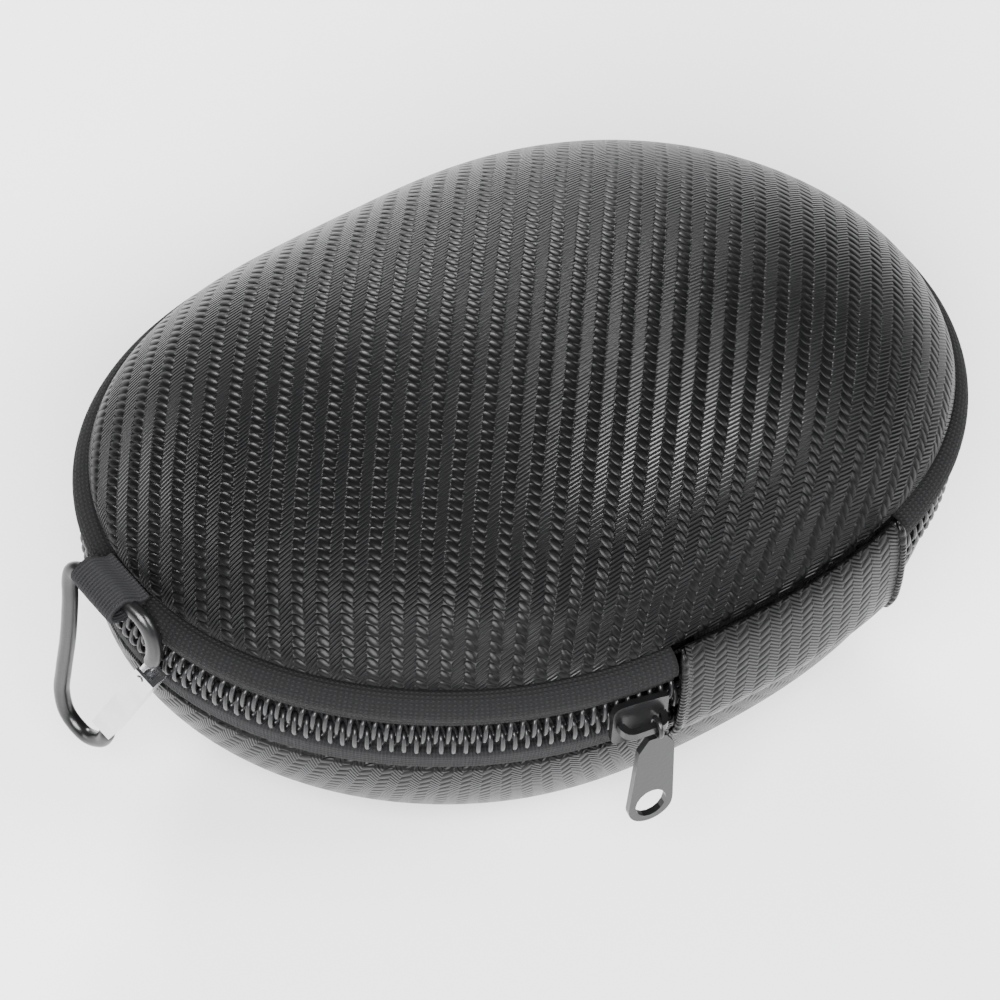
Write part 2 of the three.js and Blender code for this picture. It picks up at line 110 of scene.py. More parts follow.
def rim_lengths(degrees):
    """Distance along the rim from the first of the given angles."""
    steps = np.linalg.norm(np.diff(rim_point(degrees, 0, 0), axis=0), axis=1)
    return np.concatenate([[0], np.cumsum(steps)])


def even_angles(start, end, step):
    """Angles from start to end, about step millimetres apart along the rim."""
    fine = np.linspace(start, end, 2000)
    lengths = rim_lengths(fine)
    count = max(2, round(lengths[-1] / step) + 1)
    return np.interp(np.linspace(0, lengths[-1], count), lengths, fine)


def shell_point(degrees, tilt, depth, upper):
    """The shell's surface: tilt is 0 at the edge and 90 in the middle, depth goes inwards."""
    level, rise = np.cos(np.radians(tilt)), np.sin(np.radians(tilt))
    scale = level ** (DOME_PLAN_POWER if upper else BOWL_PLAN_POWER)
    edge_out = DOME_EDGE_OUT if upper else BOWL_EDGE_OUT
    spot = rim_point(degrees, scale * edge_out - depth * level, 0, scale)
    if upper:
        turn = math.radians(DOME_RISE_TURN)
        reach = (spot[..., 0] * math.cos(turn) + spot[..., 1] * math.sin(turn)) / DOME_RISE_REACH
        height = DOME_HEIGHT + DOME_RISE * np.tanh(reach)
        spot[..., 2] = DOME_EDGE_Z + height * rise ** RISE_POWER - depth * rise
    else:
        full = BASE_DEPTH + BOWL_EDGE_Z
        bottom = np.minimum(1, rise ** RISE_POWER / BOWL_FLAT)
        spot[..., 2] = BOWL_EDGE_Z - full * bottom + depth * rise
    return spot


# ---------- meshes ----------
def to_frame(points):
    return np.asarray(points, float) * MM + np.array(PLAN + PARTING)


def grid_faces(rows, columns, closes):
    faces = []
    for row in range(rows - 1):
        for column in range(columns if closes else columns - 1):
            right = (column + 1) % columns
            faces.append((row * columns + column, row * columns + right,
                          (row + 1) * columns + right, (row + 1) * columns + column))
    return faces


def piece(name, points, faces, material, body, replaced=(), pattern=None):
    """A smooth mesh that rides on a body; pattern holds each point's place in the weave."""
    mesh = bpy.data.meshes.new(name)
    mesh.from_pydata([tuple(p) for p in to_frame(points)], [], faces)
    mesh.validate()
    if pattern is not None:
        layer = mesh.uv_layers.new(name="weave")
        corners = np.empty(len(mesh.loops), int)
        mesh.loops.foreach_get("vertex_index", corners)
        layer.data.foreach_set("uv", np.asarray(pattern, float)[corners].ravel())
    mesh.polygons.foreach_set("use_smooth", [True] * len(mesh.polygons))
    mesh.materials.append(material)
    item = bpy.data.objects.new(name, mesh)
    bpy.context.scene.collection.objects.link(item)
    if body:
        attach(item, body)
    if replaced:
        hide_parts(*replaced)
    return item


def thicken(item, thickness, offset=-1.0):
    """Gives an open sheet its thickness, and applies it."""
    modifier = item.modifiers.new("thickness", "SOLIDIFY")
    modifier.thickness = thickness * MM
    modifier.offset = offset
    apply_modifiers(item)


def apply_modifiers(item):
    depsgraph = bpy.context.evaluated_depsgraph_get()
    mesh = bpy.data.meshes.new_from_object(item.evaluated_get(depsgraph))
    item.modifiers.clear()
    item.data = mesh


def smooth_line(points, count, closes=False):
    """Points evenly spaced on a Catmull-Rom curve through the given ones."""
    points = np.asarray(points, float)
    padded = (np.vstack([points[-1], points, points[:2]]) if closes
              else np.vstack([2 * points[0] - points[1], points, 2 * points[-1] - points[-2]]))
    fine = []
    for a, b, c, d in zip(padded[:-3], padded[1:-2], padded[2:-1], padded[3:]):
        for t in np.linspace(0, 1, 16, endpoint=False):
            fine.append(0.5 * (2 * b + (c - a) * t + (2 * a - 5 * b + 4 * c - d) * t * t
                               + (3 * b - a - 3 * c + d) * t ** 3))
    fine.append(points[0] if closes else points[-1])
    fine = np.array(fine)
    lengths = np.concatenate([[0], np.cumsum(np.linalg.norm(np.diff(fine, axis=0), axis=1))])
    spots = np.linspace(0, lengths[-1], count + 1 if closes else count)
    line = np.stack([np.interp(spots, lengths, fine[:, i]) for i in range(fine.shape[1])], -1)
    return line[:-1] if closes else line


def rim_sweep(name, section, angles, material, body, replaced=()):
    """A closed section of [out, z] points swept along the rim, with capped ends."""
    section = np.asarray(section, float)
    rows, size = len(angles), len(section)
    points = np.concatenate([rim_point(np.full(size, a), section[:, 0], section[:, 1])
                             for a in angles])
    around = np.concatenate([[0], np.cumsum(
        np.linalg.norm(np.diff(section, axis=0), axis=1))])
    along = rim_lengths(np.asarray(angles))
    pattern = [(along[i], around[j]) for i in range(rows) for j in range(size)]
    faces = grid_faces(rows, size, True)
    faces += [tuple(range(size)), tuple(reversed(range((rows - 1) * size, rows * size)))]
    return piece(name, points, flip_if_inside_out(points, faces), material, body,
                 replaced, pattern)


def flip_if_inside_out(points, faces):
    points = np.asarray(points)
    volume = sum(points[f[0]] @ np.cross(points[f[i]], points[f[i + 1]])
                 for f in faces for i in range(1, len(f) - 1))
    return faces if volume > 0 else [tuple(reversed(f)) for f in faces]


def tube(points, radii, sides, closes=False):
    """Points and faces of a round rod along a line, with flat caps on the ends of an open one."""
    points = np.asarray(points, float)
    count = len(points)
    if closes:
        tangents = np.roll(points, -1, 0) - np.roll(points, 1, 0)
    else:
        tangents = np.gradient(points, axis=0)
    tangents /= np.linalg.norm(tangents, axis=1, keepdims=True)
    normal = np.cross(tangents[0], [0.3, 0.2, 0.9])
    rings = []
    for spot, tangent, radius in zip(points, tangents, np.broadcast_to(radii, count)):
        normal = normal - tangent * (normal @ tangent)
        normal /= np.linalg.norm(normal)
        side = np.cross(tangent, normal)
        turns = np.linspace(0, 2 * np.pi, sides, endpoint=False)
        rings.append(spot + radius * (np.outer(np.cos(turns), normal)
                                      + np.outer(np.sin(turns), side)))
    faces = grid_faces(count, sides, True)
    if closes:
        last = (count - 1) * sides
        faces += [(last + j, last + (j + 1) % sides, (j + 1) % sides, j) for j in range(sides)]
    else:
        faces += [tuple(reversed(range(sides))),
                  tuple(range((count - 1) * sides, count * sides))]
    points = np.concatenate(rings)
    return points, flip_if_inside_out(points, faces)


# ---------- materials ----------
class Value:
    """A number inside a node tree, so that a pattern reads as a formula."""

    def __init__(self, tree, socket):
        self.tree, self.socket = tree, socket

    def math(self, operation, *others):
        node = self.tree.nodes.new("ShaderNodeMath")
        node.operation = operation
        for slot, value in zip(node.inputs, (self, *others)):
            if isinstance(value, Value):
                self.tree.links.new(value.socket, slot)
            else:
                slot.default_value = value
        return Value(self.tree, node.outputs[0])

    def __add__(self, other):
        return self.math("ADD", other)

    def __sub__(self, other):
        return self.math("SUBTRACT", other)

    def __mul__(self, other):
        return self.math("MULTIPLY", other)

    def __truediv__(self, other):
        return self.math("DIVIDE", other)

    def centred(self):
        """The part after the point, from -0.5 to 0.5."""
        return self.math("FRACT") - 0.5

    def wave(self, length):
        """A cosine wave from 0 to 1."""
        return (self * (2 * math.pi / length)).math("COSINE") * 0.5 + 0.5

    def size(self):
        return self.math("ABSOLUTE")

    def step(self, low, high):
        node = self.tree.nodes.new("ShaderNodeMapRange")
        node.interpolation_type = "SMOOTHSTEP"
        self.tree.links.new(self.socket, node.inputs["Value"])
        node.inputs["From Min"].default_value = low
        node.inputs["From Max"].default_value = high
        return Value(self.tree, node.outputs["Result"])


def new_material(name, color, roughness, metallic=0.0, **sockets):
    material = bpy.data.materials.new(name)
    material.use_nodes = True
    shader = material.node_tree.nodes["Principled BSDF"]
    shader.inputs["Base Color"].default_value = (*color, 1)
    shader.inputs["Roughness"].default_value = roughness
    shader.inputs["Metallic"].default_value = metallic
    for key, value in sockets.items():
        shader.inputs[key.replace("_", " ")].default_value = value
    return material


def weave_place(tree):
    """The point's place in the weave, in millimetres across and along."""
    source = tree.nodes.new("ShaderNodeUVMap")
    source.uv_map = "weave"
    parts = tree.nodes.new("ShaderNodeSeparateXYZ")
    tree.links.new(source.outputs["UV"], parts.inputs[0])
    return Value(tree, parts.outputs["X"]), Value(tree, parts.outputs["Y"])


def grain(tree, scale, detail=3.0):
    """Noise fixed to the object, with scale in features per metre."""
    place = tree.nodes.new("ShaderNodeTexCoord")
    node = tree.nodes.new("ShaderNodeTexNoise")
    node.inputs["Scale"].default_value = scale
    node.inputs["Detail"].default_value = detail
    tree.links.new(place.outputs["Object"], node.inputs["Vector"])
    return Value(tree, node.outputs["Fac"])


def relief(material, height, depth):
    """Raises the surface by a pattern's height, up to depth millimetres."""
    tree = material.node_tree
    bump = tree.nodes.new("ShaderNodeBump")
    bump.inputs["Distance"].default_value = depth * MM
    bump.inputs["Strength"].default_value = 1.0
    tree.links.new(height.socket, bump.inputs["Height"])
    tree.links.new(bump.outputs["Normal"], tree.nodes["Principled BSDF"].inputs["Normal"])


def shade(material, amount, dark, light, socket="Base Color"):
    """Sets a socket between two values, by an amount from 0 to 1."""
    tree = material.node_tree
    target = tree.nodes["Principled BSDF"].inputs[socket]
    if socket == "Base Color":
        ramp = tree.nodes.new("ShaderNodeValToRGB")
        ramp.color_ramp.elements[0].color = (*dark, 1)
        ramp.color_ramp.elements[1].color = (*light, 1)
        tree.links.new(amount.socket, ramp.inputs["Fac"])
        tree.links.new(ramp.outputs["Color"], target)
    else:
        tree.links.new((amount * (light - dark) + dark).socket, target)


def twill_leatherette():
    """Leatherette pressed with chains of slanted tufts between bands of fine threads."""
    material = new_material("twill_leatherette", (0.005, 0.005, 0.0055), 0.34,
                            Specular_IOR_Level=0.13)
    tree = material.node_tree
    across, along = weave_place(tree)
    period, pitch, thread_pitch, tuft_half = 4.9, 2.05, 0.95, 1.45
    from_chain = (across / period).centred() * period
    tuft_place = ((along + from_chain * 0.45) / pitch).centred() * pitch
    spread = (from_chain / tuft_half).math("POWER", 2.0) + tuft_place.math("POWER", 2.0)
    tuft = (spread * -1.0 + 1.0).math("MAXIMUM", 0.0).math("SQRT")
    from_band = (across / period + 0.5).centred() * period
    threads = (along - from_band * 0.85).wave(thread_pitch)
    in_band = from_chain.size().step(1.0, 1.5)
    fine = grain(tree, 1800.0, 2.0)
    height = tuft + threads * in_band * 0.65 + fine * 0.1
    relief(material, height, 0.36)
    broad = grain(tree, 60.0, 2.0)
    # painted highlight: the bands of threads between the tuft chains are painted lighter, where
    # light catches the threads; the broad noise is uneven tone
    shade(material, in_band * 0.55 + broad * 0.45, (0.0006, 0.0006, 0.0007),
          (0.0045, 0.0045, 0.0048))
    shade(material, in_band * -0.5 + fine * 0.3 + 0.6, 0.24, 0.44, "Roughness")
    return material


def knit_tape():
    """Rolled tape: tiny chevrons in rows."""
    material = new_material("knit_tape", (0.016, 0.016, 0.017), 0.85, Specular_IOR_Level=0.15)
    tree = material.node_tree
    along, around = weave_place(tree)
    row_height, stitch_length = 0.85, 1.0
    row = (around / row_height).centred()
    stitches = (along + row.size() * 0.9).wave(stitch_length)
    height = stitches * (row * row_height).wave(row_height)
    fuzz = grain(tree, 2600.0, 2.0)
    relief(material, height + fuzz * 0.3, 0.22)
    # painted shade: the grooves between the stitches are painted darker and the raised stitches
    # lighter; the fuzz is uneven tone
    shade(material, height * 0.7 + fuzz * 0.3, (0.002, 0.002, 0.0022), (0.013, 0.013, 0.014))
    return material


def ribbed(name, rib, cross, light, depth=0.2):
    """Woven band: ribs across it and finer threads along it."""
    material = new_material(name, (0.018, 0.018, 0.02), 0.8, Specular_IOR_Level=0.2)
    tree = material.node_tree
    along, around = weave_place(tree)
    ribs = along.wave(rib)
    threads = around.wave(cross)
    height = ribs * 0.7 + threads * 0.3
    fuzz = grain(tree, 2400.0, 2.0)
    relief(material, height + fuzz * 0.2, depth)
    # painted shade: the grooves between ribs and threads are painted darker and the raised ribs
    # lighter; the fuzz is uneven tone
    shade(material, height * 0.7 + fuzz * 0.3, (0.002, 0.002, 0.0024), light)
    return material


def jersey():
    """Brushed lining cloth with a soft sheen."""
    material = new_material("jersey", (0.03, 0.03, 0.033), 0.95, Sheen_Weight=0.35,
                            Sheen_Roughness=0.6, Specular_IOR_Level=0.2)
    tree = material.node_tree
    fuzz, mottle = grain(tree, 1500.0, 4.0), grain(tree, 90.0, 3.0)
    relief(material, fuzz, 0.25)
    shade(material, fuzz * 0.5 + mottle * 0.5, (0.018, 0.018, 0.020), (0.052, 0.052, 0.056))
    return material


def nylon():
    """Monofilament of the zip's coils."""
    material = new_material("nylon_coil", (0.008, 0.008, 0.009), 0.32, Specular_IOR_Level=0.35)
    tree = material.node_tree
    mottle = grain(tree, 700.0, 2.0)
    shade(material, mottle, (0.005, 0.005, 0.0055), (0.012, 0.012, 0.013))
    shade(material, mottle, 0.26, 0.42, "Roughness")
    return material


def black_lacquer():
    """Black enamel on die-cast metal."""
    material = new_material("black_lacquer", (0.005, 0.005, 0.0055), 0.25,
                            Specular_IOR_Level=0.4)
    tree = material.node_tree
    fine, broad = grain(tree, 1200.0, 3.0), grain(tree, 160.0, 3.0)
    relief(material, fine, 0.03)
    shade(material, broad, (0.0015, 0.0015, 0.0017), (0.006, 0.006, 0.0065))
    shade(material, fine * 0.4 + broad * 0.6, 0.2, 0.42, "Roughness")
    return material


def bright_metal():
    """Plated metal, a little unevenly polished."""
    material = new_material("bright_metal", (0.6, 0.6, 0.62), 0.25, metallic=1.0)
    tree = material.node_tree
    fine, broad = grain(tree, 900.0, 4.0), grain(tree, 200.0, 2.0)
    relief(material, fine, 0.02)
    shade(material, broad, (0.50, 0.50, 0.52), (0.72, 0.72, 0.74))
    shade(material, fine * 0.5 + broad * 0.5, 0.12, 0.34, "Roughness")
    return material


def pale_floor():
    material = new_material("floor", (0.9, 0.9, 0.91), 0.3, Specular_IOR_Level=0.35)
    tree = material.node_tree
    shade(material, grain(tree, 3.0, 2.0), (0.89, 0.89, 0.90), (0.92, 0.92, 0.925))
    return material


TWILL = twill_leatherette()
KNIT = knit_tape()
FLAT_WEAVE = ribbed("flat_tape", 0.7, 0.9, (0.010, 0.010, 0.011))
WEBBING = ribbed("webbing", 0.75, 0.55, (0.016, 0.016, 0.018), 0.3)
ELASTIC = ribbed("elastic", 1.4, 0.6, (0.03, 0.03, 0.032), 0.35)
NET = ribbed("net", 1.3, 1.3, (0.05, 0.05, 0.054), 0.4)
JERSEY = jersey()
NYLON = nylon()
LACQUER = black_lacquer()
BRIGHT = bright_metal()


# ---------- shells ----------
WEAVE_TURN = math.radians(-42.5)        # the tufts' chains run square to this direction
SHEET_THICKNESS = 0.8                   # of the skins and the linings
SKIN_STEP, LINING_STEP = 1.5, 3         # degrees between columns of points
DOME_LEDGE_TILT, BOWL_LEDGE_TILT = 3.6, 2.1     # tilt that a layer starts at, for each mm of depth


def weave_on_sheet(rows):
    """Where each point of a moulded shell lay on the flat sheet: distances from the middle
    are kept along the surface, so that the chains bow outwards as they do on the case."""
    middle = rows[-1, 0]
    steps = np.linalg.norm(np.diff(rows, axis=0), axis=2)
    from_middle = np.zeros(rows.shape[:2])
    from_middle[:-1] = np.cumsum(steps[::-1], axis=0)[::-1]
    flat = rows[..., :2] - middle[:2]
    plain = np.linalg.norm(flat, axis=2)
    stretch = np.where(plain > 1e-6, from_middle / np.maximum(plain, 1e-6), 1.0)
    sheet = flat * stretch[..., None]
    across = sheet[..., 0] * math.cos(WEAVE_TURN) + sheet[..., 1] * math.sin(WEAVE_TURN)
    along = -sheet[..., 0] * math.sin(WEAVE_TURN) + sheet[..., 1] * math.cos(WEAVE_TURN)
    return np.stack([across, along], -1)


def shell_rows(depth, upper, step):
    """Rings of points from the shell's edge behind the tape to the middle of its dome."""
    angles = np.linspace(0, 360, round(360 / step), endpoint=False)
    side, edge = (1, DOME_EDGE_Z) if upper else (-1, -BOWL_EDGE_Z)
    edge_out = DOME_EDGE_OUT if upper else BOWL_EDGE_OUT
    first = (DOME_LEDGE_TILT if upper else BOWL_LEDGE_TILT) * depth
    wall = -WALL_INSET - depth
    ledge = np.linspace(wall + 0.6, max(edge_out - depth - 0.7, wall + 0.7), 4)
    rings = [(wall, z) for z in np.linspace(SHELL_EDGE, edge + depth - 1.1, 4)]
    rings += [(wall + 0.15, edge + depth - 0.7)]
    rings += [(out, edge + depth - 0.45 + 0.05 * i) for i, out in enumerate(ledge)]
    rows = [rim_point(angles, out, side * z) for out, z in rings]
    for tilt in first + 1.2 + (90 - first - 1.2) * np.linspace(0, 1, 70) ** 1.15:
        rows.append(shell_point(angles, np.full(len(angles), min(tilt, 90.0)), depth, upper))
    rows = np.array(rows)
    if upper and depth == 0:
        above = rows[..., 2] - DOME_EDGE_Z
        dip = DIP_DEPTH * np.exp(-((above - DIP_HEIGHT) / DIP_WIDTH) ** 2)
        dip *= 0.5 + 0.5 * np.cos(np.radians(angles - DIP_TURN))
        inward = rows[..., :2] / np.linalg.norm(rows[..., :2] + 1e-9, axis=2, keepdims=True)
        rows[..., :2] -= inward * dip[..., None] * (above > -0.2)[..., None]
    return rows


def shell(name, depth, upper, step, material, replaced):
    """One moulded layer of a half, depth millimetres inside the case's outer surface."""
    rows = shell_rows(depth, upper, step)
    count, size = rows.shape[:2]
    points = np.vstack([rows[:-1].reshape(-1, 3), rows[-1:, 0]])
    pattern = weave_on_sheet(rows)
    pattern = np.vstack([pattern[:-1].reshape(-1, 2), pattern[-1:, 0]])
    faces = grid_faces(count - 1, size, True)
    top = len(points) - 1
    last = (count - 2) * size
    faces += [(last + j, last + (j + 1) % size, top) for j in range(size)]
    if not upper:
        faces = [tuple(reversed(f)) for f in faces]
    item = piece(name, points, faces, material, "lid" if upper else "base",
                 replaced, pattern)
    thicken(item, SHEET_THICKNESS)
    return item


dome = shell("lid_dome", 0, True, SKIN_STEP, TWILL,
             ["upper_shell_skin", "upper_shell_foam"])
bowl = shell("lower_bowl", 0, False, SKIN_STEP, TWILL,
             ["lower_shell_skin", "lower_shell_foam"])
shell("lid_lining", LINING_DEPTH, True, LINING_STEP, JERSEY, ["upper_shell_lining"])
shell("lower_lining", LINING_DEPTH, False, LINING_STEP, JERSEY,
      ["lower_shell_lining"])


# ---------- tapes and bindings ----------
# sections as [out, z] points: the padded roll above the zip, and the flat tape below it
ROLL = [(TAPE_BACK, 0.2), (TAPE_FACE, 0.2), (TAPE_FACE, 4.6), (-0.9, 5.0), (0.9, 5.2),
        (1.7, 6.0), (1.9, 7.2), (2.7, 8.2), (3.2, 9.7), (3.0, 11.2), (2.1, 12.6), (0.7, 13.5),
        (-1.2, 13.7), (TAPE_BACK, 13.1), (TAPE_BACK, 6.0)]
FLAT = [(TAPE_BACK, -0.2), (TAPE_BACK, -5.5), (TAPE_BACK, -10.6), (-1.2, -10.7), (-0.6, -9.6),
        (-0.2, -8.0), (0.2, -6.4), (0.1, -5.3), (-1.0, -4.8), (TAPE_FACE, -4.5),
        (TAPE_FACE, -0.2)]


def binding_section(side):
    """Tape folded over the raw edges of skin, foam and lining."""
    face = -WALL_INSET - 6.0 - 0.3
    corners = [(-3.0, 7.7), (-3.0, 6.9), (-5.5, 6.8), (face - 0.3, 6.8), (face - 0.9, 7.4),
               (face - 0.9, 9.5), (face - 0.8, 11.7), (face, 11.7), (face, 9.5), (face, 7.7)]
    return [(out, side * z) for out, z in corners]


TAPE_ANGLES = even_angles(SPINE_END + 1, SPINE_START + 359, 2.0)
rim_sweep("rim_roll", smooth_line(ROLL, 56, True), TAPE_ANGLES, KNIT, "lid",
          ["upper_zip_tape"])
rim_sweep("lower_tape", smooth_line(FLAT, 44, True), TAPE_ANGLES, FLAT_WEAVE, "base",
          ["lower_zip_tape"])
RING_ANGLES = np.linspace(0, 360, 181)
for side, half, body in ((1, "upper", "lid"), (-1, "lower", "base")):
    rim_sweep(f"{half}_edge_binding", smooth_line(binding_section(side), 40, True),
              RING_ANGLES, FLAT_WEAVE, body, [f"{half}_binding"])


# ---------- coils ----------
def coil(name, side, body, node):
    """One monofilament bent into turns, whose heads reach just past the parting plane."""
    angles = even_angles(SPINE_END - 2, SPINE_START + 362, COIL_PITCH / COIL_STEPS)
    place = rim_lengths(angles)
    turn = 2 * np.pi * (place / COIL_PITCH + (0.5 if side < 0 else 0))
    shifted = place - COIL_SQUARE * np.sin(turn) * COIL_PITCH / (2 * np.pi)
    angles = np.interp(shifted, place, angles)
    middle, half = (COIL_REACH + COIL_HEAD) / 2, (COIL_REACH - COIL_HEAD) / 2
    out = COIL_OUT * np.cos(turn)
    up = side * (middle + half * np.sin(turn))
    line = rim_point(angles, out, up)
    wire = COIL_WIRE * (1 + 0.18 * np.clip(-np.sin(turn), 0, 1) ** 4)
    points, faces = tube(line, wire, 7)
    return piece(name, points, faces, NYLON, body, [node])


coil("lid_coil", 1, "lid", "upper_coil")
coil("base_coil", -1, "base", "lower_coil")


# ---------- spine ----------
HINGE_REACH, BEAD_RADIUS, BEAD_SIDES = 7, 0.85, 12
COVER = [(1.9, 15.4), (3.1, 13.0), (3.8, 9.0), (4.1, 3.0), (3.9, -3.0), (3.1, -8.0),
         (0.9, -12.6)]


def ribbon(section, thickness):
    """A closed section around an open line of [out, z] points, with its inside at the back."""
    line = smooth_line(section, 34)
    tangent = np.gradient(line, axis=0)
    tangent /= np.linalg.norm(tangent, axis=1, keepdims=True)
    inward = np.stack([tangent[:, 1], -tangent[:, 0]], -1)
    if inward[len(line) // 2, 0] > 0:
        inward = -inward
    return np.vstack([line, (line + inward * thickness)[::-1]])


def hinge_blend(item):
    """Bakes a piece of the spine's placement into its mesh."""
    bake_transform(item)


SPINE_ANGLES = even_angles(SPINE_START + 0.5, SPINE_END - 0.5, 1.2)
cover = rim_sweep("spine_panel", ribbon(COVER, 1.1), SPINE_ANGLES, TWILL, None,
                  ["spine_cover"])
hinge_blend(cover)
INNER_TAPE = [(-1.7, 13.2), (-1.7, 5), (-1.7, -4), (-1.7, -10.8)]
inner = rim_sweep("spine_tape", ribbon(INNER_TAPE, 0.8),
                  even_angles(SPINE_START + 5.5, SPINE_END - 5.5, 2.5), FLAT_WEAVE, None,
                  ["hinge_tape"])
hinge_blend(inner)
for name, degrees in (("left", SPINE_START), ("right", SPINE_END)):
    path = smooth_line([(out - 0.05, z * 0.985) for out, z in COVER], 40)
    line = rim_point(np.full(len(path), float(degrees)), path[:, 0], path[:, 1])
    ends = np.clip(np.minimum(np.arange(len(line)), np.arange(len(line))[::-1]) / 3, 0.35, 1)
    points, faces = tube(line, BEAD_RADIUS * ends, BEAD_SIDES)
    bead = piece(f"spine_fold_{name}", points, faces, TWILL, None,
                 [f"spine_edge_{name}"], np.repeat(path, BEAD_SIDES, 0))
    hinge_blend(bead)


# ---------- slider and puller ----------
def joint_frame(name):
    """Pivot, sideways, up and outward directions of a part that swings on a sideways axis."""
    joint = JOINTS[name]
    pivot = (np.array(joint["pos_m"]) - np.array(PLAN + PARTING)) / MM
    along = -np.array(joint["axis"], float)
    along /= np.linalg.norm(along)
    up = np.array([0, 0, 1.0])
    return pivot, along, up, np.cross(along, up)


def place(name, flat):
    """Turns [across, up, outward] points of a swinging part into points on the case."""
    pivot, along, up, outward = joint_frame(name)
    flat = np.asarray(flat, float)
    return pivot + flat @ np.stack([along, up, outward])


def finish_cad(node, material, bevel):
    """Gives a kept CAD piece its material, and rounds its edges by bevel millimetres."""
    item = frame["nodes"][node]
    item.data.materials.clear()
    item.data.materials.append(material)
    if bevel:
        modifier = item.modifiers.new("edges", "BEVEL")
        modifier.width = bevel * MM
        modifier.segments = 3
        modifier.limit_method = "ANGLE"
        modifier.angle_limit = math.radians(32)
        modifier.harden_normals = True
        item.data.polygons.foreach_set("use_smooth", [True] * len(item.data.polygons))


finish_cad("slider_body", LACQUER, 0.35)
finish_cad("slider_bridge", LACQUER, 0.45)
finish_cad("puller_tab", LACQUER, 0.3)

LINK_RADIUS, LINK_WIRE = 1.85, 0.5
turns = np.linspace(0, 2 * np.pi, 36, endpoint=False)
ring_line = place("puller_swing", np.stack(
    [0 * turns, LINK_RADIUS * np.cos(turns), LINK_RADIUS * np.sin(turns)], -1))
points, faces = tube(ring_line, LINK_WIRE, 12, closes=True)
piece("puller_link", points, faces, LACQUER, "puller", ["puller_ring"])


# ---------- snap hook ----------
HOOK_ROD, HOOK_STEPS = 1.6, 150
HOOK_LINE = [
    (11.6, -12.4), (12.4, -9.0), (11.9, -4.6), (9.4, -1.2), (5.9, 0), (2, 0), (-2, 0), (-5.9, 0),
    (-8.6, -1.8), (-9.3, -5.4), (-9.1, -11), (-9.3, -22), (-10.2, -34), (-10.5, -41),
    (-8.8, -46.6), (-4.2, -49.0), (0.0, -46.8), (1.8, -42.4)]
rod = smooth_line([(x, y, 0) for x, y in HOOK_LINE], HOOK_STEPS)
from_end = np.minimum(np.arange(HOOK_STEPS), np.arange(HOOK_STEPS)[::-1])
rod_radius = HOOK_ROD * np.sqrt(1 - (1 - np.clip((from_end + 0.6) / 3, 0, 1)) ** 2)
points, faces = tube(place("carabiner_swing", rod), rod_radius, 20)
piece("hook_rod", points, faces, LACQUER, "carabiner", ["carabiner_body"])
finish_cad("gate_pin", BRIGHT, 0)
finish_cad("carabiner_gate", BRIGHT, 0.3)
finish_cad("gate_spring", BRIGHT, 0)


# ---------- webbing loop ----------
def webbing_band(centre_line, width, thickness):
    """A flat band along a line in the [out, z] plane at LOOP_AT, with rounded edges."""
    line = smooth_line(centre_line, 60)
    tangent = np.gradient(line, axis=0)
    tangent /= np.linalg.norm(tangent, axis=1, keepdims=True)
    normal = np.stack([-tangent[:, 1], tangent[:, 0]], -1)
    half, edge = width / 2, thickness / 2
    flat = half - 0.25
    section = smooth_line([(-flat, edge), (flat, edge), (half, 0), (flat, -edge),
                           (-flat, -edge), (-half, 0)], 30, True)
    start = rim_point(float(LOOP_AT), 0, 0)
    outward = rim_point(float(LOOP_AT), 1, 0) - start
    sideways = np.cross([0, 0, 1], outward)
    points, pattern = [], []
    for i, (spot, across) in enumerate(zip(line, normal)):
        for x, y in section:
            out, z = spot + across * y
            points.append(start + outward * out + np.array([0, 0, z]) + sideways * x)
            pattern.append((x, i * 0.5))
    size = len(section)
    faces = grid_faces(len(line), size, True)
    faces += [tuple(range(size)), tuple(range((len(line) - 1) * size, len(line) * size))]
    return piece("webbing_band", points, flip_if_inside_out(points, faces), WEBBING, "lid",
                 ["webbing_loop"], pattern)


hook_pivot = joint_frame("carabiner_swing")[0]
loop_start = rim_point(float(LOOP_AT), 0, 0)
loop_out = rim_point(float(LOOP_AT), 1, 0) - loop_start
HOOK_OUT, HOOK_Z = float((hook_pivot - loop_start) @ loop_out), float(hook_pivot[2])
bend = np.radians(np.linspace(95, -190, 12))
loop_line = [(1.0, 16.1), (2.8, 16.0)]
loop_line += [(HOOK_OUT + 3.5 * math.cos(a), HOOK_Z + 2.6 * math.sin(a)) for a in bend]
loop_line += [(2.2, 14.4)]
webbing_band(loop_line, width=11.4, thickness=1.0)


# ---------- net pocket ----------
POCKET_INSET, POCKET_LEVEL = 10.0, DOME_EDGE_Z + 0.2


def pocket_sheet(left, right, bulge):
    """A sheet between the lining's sides: it starts at the mouth and sags inwards."""
    rows, columns = 15, 60
    edge = rim_point(np.linspace(left, right, columns), -POCKET_INSET, 0)[:, :2]
    points, pattern = [], []
    for t in np.arange(rows) / (rows - 1):
        for s, outer in zip(np.arange(columns) / (columns - 1), edge):
            low = edge[0] * (1 - s) + edge[-1] * s
            spot = low * (1 - t) + outer * t
            sag = bulge * math.sin(math.pi * s) * math.sin(math.pi * min(1, 0.15 + t * 0.85))
            points.append((spot[0], spot[1], POCKET_LEVEL - sag))
            pattern.append((spot[0], spot[1]))
    item = piece("pocket_sheet", points, grid_faces(rows, columns, False), NET, "lid",
                 ["pocket_net"], pattern)
    thicken(item, 0.5)
    return item


net = pocket_sheet(5.0, 175.0, bulge=1.2)


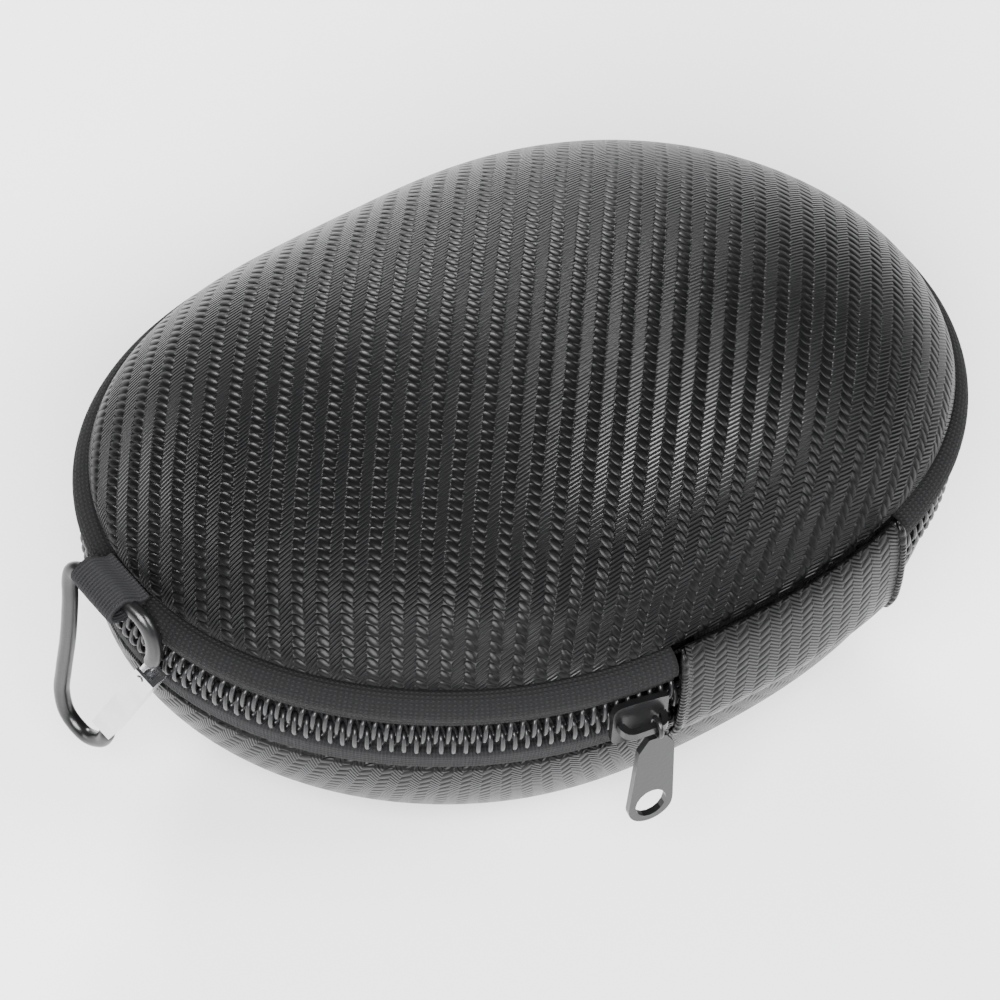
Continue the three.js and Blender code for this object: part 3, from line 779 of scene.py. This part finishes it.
def pocket_band(rows=80, size=20):
    """The gathered elastic along the pocket's mouth, from side to side of the lining."""
    corners = [rim_point(a, -POCKET_INSET, 0)[:2] for a in (1.0, 179.0, 175.4, 4.6)]
    section = smooth_line([(0, 0), (0.5, -0.35), (1, 0), (1, 1.2), (0.5, 1.5), (0, 1.2)],
                          size, True)
    points = []
    for s in np.linspace(0, 1, rows):
        low = corners[0] * (1 - s) + corners[1] * s
        high = corners[3] * (1 - s) + corners[2] * s
        ripple = 0.12 * math.sin(s * 240)
        points += [(*(low * (1 - t) + high * t), POCKET_LEVEL + z + ripple) for t, z in section]
    points = np.array(points)
    faces = grid_faces(rows, size, True)
    faces += [tuple(range(size)), tuple(range((rows - 1) * size, rows * size))]
    piece("pocket_band", points, flip_if_inside_out(points, faces), ELASTIC, "lid",
          ["pocket_elastic"], points[:, :2])


pocket_band()


# ---------- floor, light and camera ----------
def studio():
    mesh = bpy.data.meshes.new("floor")
    reach = 3.0
    mesh.from_pydata([(-reach, -reach, 0), (reach, -reach, 0), (reach, reach, 0),
                      (-reach, reach, 0)], [], [(0, 1, 2, 3)])
    mesh.materials.append(pale_floor())
    floor = bpy.data.objects.new("floor", mesh)
    bpy.context.scene.collection.objects.link(floor)
    world = bpy.data.worlds.new("studio")
    world.use_nodes = True
    world.node_tree.nodes["Background"].inputs["Color"].default_value = (0.97, 0.98, 1, 1)
    world.node_tree.nodes["Background"].inputs["Strength"].default_value = 0.2
    bpy.context.scene.world = world


def softbox(name, place, target, size, power):
    """A rectangular studio light of the given size in metres and power in watts."""
    light = bpy.data.lights.new(name, "AREA")
    light.shape = "RECTANGLE"
    light.size, light.size_y = size
    light.energy = power
    item = bpy.data.objects.new(name, light)
    item.location = place
    item.rotation_euler = (Vector(target) - Vector(place)).to_track_quat("-Z", "Y").to_euler()
    bpy.context.scene.collection.objects.link(item)


CAMERA_TURN, CAMERA_LIFT, CAMERA_ROLL = -42.51, 51.55, 5.0
CAMERA_AWAY, CAMERA_LENS, SENSOR = 1784.35, 335.85, 36.0
CAMERA_TARGET = np.array([-9.11, -4.11, 0])


def camera():
    """A long lens at the photograph's angle; the roll carries the case's slight tilt."""
    turn, lift, roll = map(math.radians, (CAMERA_TURN, CAMERA_LIFT, CAMERA_ROLL))
    back = Vector((math.sin(turn) * math.cos(lift), -math.cos(turn) * math.cos(lift),
                   math.sin(lift)))
    right = Vector((math.cos(turn), math.sin(turn), 0))
    up = back.cross(right)
    rolled_right = right * math.cos(roll) + up * math.sin(roll)
    rolled_up = up * math.cos(roll) - right * math.sin(roll)
    data = bpy.data.cameras.new("camera")
    data.lens, data.sensor_width = CAMERA_LENS, SENSOR
    data.clip_end = 20
    item = bpy.data.objects.new("camera", data)
    spot = Vector(to_frame(CAMERA_TARGET)) + back * CAMERA_AWAY * MM
    item.matrix_world = Matrix.Translation(spot) @ Matrix(
        (rolled_right, rolled_up, back)).transposed().to_4x4()
    bpy.context.scene.collection.objects.link(item)
    bpy.context.scene.camera = item


studio()
softbox("back", (0.62, 1.15, 0.72), (0, 0, 0.06), (0.42, 0.3), 34)
softbox("near_left", (-0.95, -0.85, 1.25), (0, 0, 0), (1.0, 1.0), 130)
softbox("near_right", (0.9, -1.1, 1.1), (0, 0, 0), (0.7, 0.7), 42)
softbox("left", (-1.1, 0.7, 0.25), (0, 0, 0.06), (0.25, 0.5), 5)
camera()
